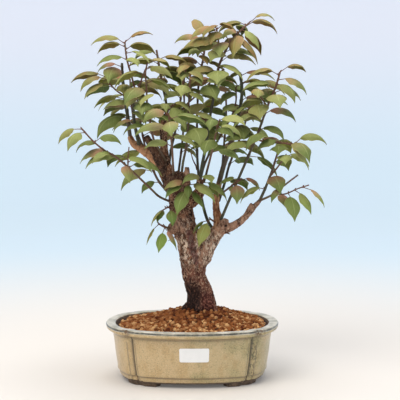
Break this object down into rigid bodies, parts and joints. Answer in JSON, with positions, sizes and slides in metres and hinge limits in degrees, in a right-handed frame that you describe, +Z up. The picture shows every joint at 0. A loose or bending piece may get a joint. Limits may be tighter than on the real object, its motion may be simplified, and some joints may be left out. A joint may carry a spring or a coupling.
{
  "type": "japanese apricot bonsai",
  "caption": "Old two-limbed apricot trunk with straight leafy shoots, in clay granules in a lobed glazed pot on four low feet; a free-standing indoor or garden display plant.",
  "frame": {"origin": "on the table under the middle of the pot's four feet", "axes": "+Z up the tree, +X to the viewer's right along the pot's long side, -Y towards the viewer"},
  "size_m": [0.3569, 0.229, 0.5048],
  "materials": {
    "glaze": "beige-olive glaze, glossy, unglazed brown feet",
    "paper": "blank white paper sticker",
    "mesh": "moulded mesh",
    "soil": "fired clay granules, matte, 3 to 5 mm",
    "bark": "rough flaking bark",
    "shoot": "olive leaves and dark green stems"
  },
  "bodies": {
    "root": {"pot": "glaze", "label": "paper", "drain_screen_left": "mesh", "drain_screen_right": "mesh", "soil": "soil", "trunk": "bark", "shoot_left_long": "shoot", "shoot_top_right": "shoot", "shoot_far_right": "shoot", "shoot_right_tip": "shoot", "shoot_right_low": "shoot", "shoot_left_tall": "shoot", "shoot_left_second": "shoot", "shoot_left_inner": "shoot", "shoot_left_rear": "shoot", "shoot_centre_cut": "shoot", "shoot_limb_top": "shoot", "shoot_centre": "shoot", "shoot_centre_right": "shoot", "shoot_middle_tall": "shoot", "shoot_right_slender": "shoot", "shoot_right_main": "shoot", "shoot_right_rear": "shoot", "shoot_left_burl": "shoot", "shoot_trunk_front": "shoot", "shoot_trunk_left": "shoot", "shoot_fork_front": "shoot", "shoot_branch_leaf": "shoot", "shoot_right_inner": "shoot", "shoot_back_left": "shoot", "shoot_back_centre": "shoot", "shoot_back_right": "shoot", "shoot_front_left": "shoot", "shoot_front_right": "shoot"}
  },
  "joints": []
}
